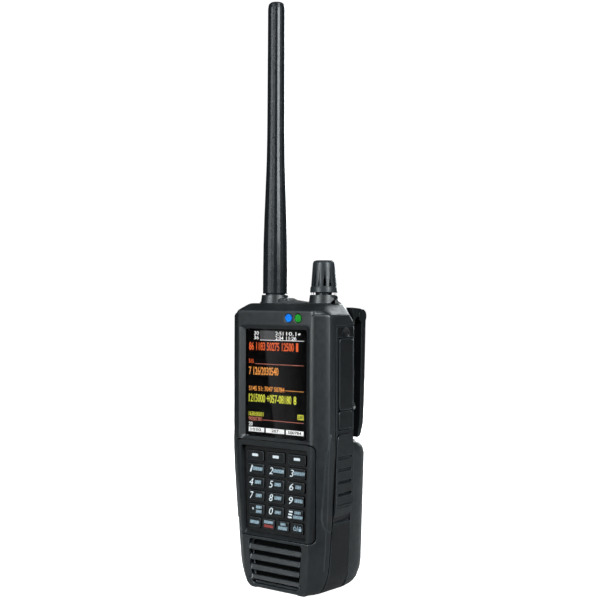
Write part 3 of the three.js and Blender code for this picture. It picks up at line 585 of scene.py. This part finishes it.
# ---------------------------------------------------------------- stage, light
def flat_piece(name, corners, material):
    """One four-cornered sheet of the stage."""
    mesh = bpy.data.meshes.new(name)
    mesh.from_pydata(corners, [], [(0, 1, 2, 3)])
    mesh.materials.append(material)
    piece = bpy.data.objects.new(name, mesh)
    scene.collection.objects.link(piece)
    return piece


FLOOR_REACH = 30
FLOOR_SEEN, FLOOR_PATCH_WHITE = 0.98, 0.9
# bright patches of floor behind the object: middle, near and far reach, share of the full brightness
FLOOR_PATCHES = ((0.34, 0.3), 0.2, 0.42, 0.55), ((-0.14, 0.14), 0.1, 0.3, 1.0)


def stage_floor(lift, bounce):
    """A plain white floor. Camera rays see it white and lit by lift. All other rays see it nearly
    black, apart from FLOOR_PATCHES, so that it throws little light on the object."""
    g = Graph("floor_paint")
    white = g.mix(g.ramp(g.noise(3.0), 0, 1), (0.9, 0.9, 0.9), (0.93, 0.93, 0.93))
    seen = g.add("ShaderNodeLightPath").outputs["Is Camera Ray"]
    lit = g.add("ShaderNodeMath", operation="MAXIMUM")
    for socket, (middle, near, far, level) in zip(lit.inputs, FLOOR_PATCHES):
        spot = g.add("ShaderNodeVectorMath", operation="DISTANCE")
        g.link(g.place(), spot.inputs[0])
        spot.inputs[1].default_value = (*middle, 0.0)
        g.link(g.ramp(spot.outputs["Value"], level, 0, near, far), socket)
    patch = g.mix(lit.outputs["Value"], (0.01, 0.01, 0.01), (bounce,) * 3)
    colour = g.add("ShaderNodeMix", data_type="RGBA")
    g.link(seen, colour.inputs["Factor"])
    g.link(patch, colour.inputs["A"])
    g.link(white, colour.inputs["B"])
    g.link(colour.outputs["Result"], g.shader.inputs["Base Color"])
    g.link(g.ramp(seen, 0, lift, 0, 1), g.shader.inputs["Emission Strength"])
    g.set(Emission_Color=WHITE, Roughness=0.9, Specular_IOR_Level=0.1)
    r = FLOOR_REACH
    flat_piece("floor", [(-r, -r, 0), (r, -r, 0), (r, r, 0), (-r, r, 0)], g.material)


CARD_GLOW = 0.25
CARD_BRIGHT_X, CARD_RIGHT_X = -0.262, -0.226
CARD_Y, CARD_FOOT, CARD_HEAD = -0.35, -0.01, 0.17
CARD_LEFT_FOOT_X, CARD_LEFT_HEAD_X = -0.2494, -0.2767


def mirror_card(strength):
    """A narrow glowing card ahead on the left, with one crisp side, for the screen window to
    mirror. Camera rays, matt surfaces and shadows don't see it."""
    g = Graph("card_glow")
    split = g.add("ShaderNodeSeparateXYZ")
    g.link(g.place(), split.inputs[0])
    fade = g.ramp(split.outputs["X"], strength, 0.0, CARD_BRIGHT_X, CARD_RIGHT_X)
    g.link(fade, g.shader.inputs["Emission Strength"])
    g.set(Emission_Color=WHITE, Base_Color=(0, 0, 0, 1))
    corners = [
        (CARD_LEFT_FOOT_X, CARD_Y, CARD_FOOT), (CARD_RIGHT_X, CARD_Y, CARD_FOOT),
        (CARD_RIGHT_X, CARD_Y, CARD_HEAD), (CARD_LEFT_HEAD_X, CARD_Y, CARD_HEAD),
    ]
    card = flat_piece("card", corners, g.material)
    card.visible_camera = False
    card.visible_diffuse = False
    card.visible_shadow = False


COOL = (0.92, 0.98, 1.0)
AIM = Vector((0, 0, 0.12))


def softbox(name, azimuth, distance, height, width, tall, watts):
    """A rectangular light at an azimuth from straight ahead, in degrees towards +X, aimed at AIM."""
    data = bpy.data.lights.new(name, "AREA")
    data.shape = "RECTANGLE"
    data.size = width
    data.size_y = tall
    data.energy = watts
    data.color = COOL
    light = bpy.data.objects.new(name, data)
    angle = math.radians(azimuth)
    light.location = (distance * math.sin(angle), -distance * math.cos(angle), height)
    light.rotation_euler = (AIM - light.location).to_track_quat("-Z", "Y").to_euler()
    light.visible_camera = False
    scene.collection.objects.link(light)


CEILING_LIGHT = 0.15
CEILING_SPREAD = math.radians(80)
CEILING_TILT = (math.radians(8), math.radians(6), 0)


def overhead(strength):
    """An even ceiling light."""
    data = bpy.data.lights.new("ceiling", "SUN")
    data.energy = strength
    data.angle = CEILING_SPREAD
    light = bpy.data.objects.new("ceiling", data)
    light.rotation_euler = CEILING_TILT
    scene.collection.objects.link(light)


ROOM_LIGHT, ROOM_SEEN = 0.02, 1.05


def studio_world(ambient):
    """White to camera rays, and a dim room light to all others."""
    world = bpy.data.worlds.new("studio")
    world.use_nodes = True
    scene.world = world
    tree = world.node_tree
    background = tree.nodes["Background"]
    background.inputs["Color"].default_value = WHITE
    seen = tree.nodes.new("ShaderNodeLightPath").outputs["Is Camera Ray"]
    level = tree.nodes.new("ShaderNodeMapRange")
    level.inputs["To Min"].default_value = ambient
    level.inputs["To Max"].default_value = ROOM_SEEN
    tree.links.new(seen, level.inputs["Value"])
    tree.links.new(level.outputs["Result"], background.inputs["Strength"])


# name, azimuth, distance, height, width, tall, watts
SOFTBOXES = (
    ("left_softbox", -10, 1.1, 0.5, 0.4, 0.8, 18),
    ("right_softbox", 75, 1.0, 0.58, 0.3, 0.6, 19),
    ("back_softbox", 193, 1.3, 0.5, 0.5, 0.9, 16),
)
stage_floor(FLOOR_SEEN, FLOOR_PATCH_WHITE)
mirror_card(CARD_GLOW)
for box in SOFTBOXES:
    softbox(*box)
overhead(CEILING_LIGHT)
studio_world(ROOM_LIGHT)
scene.view_settings.view_transform = "Standard"
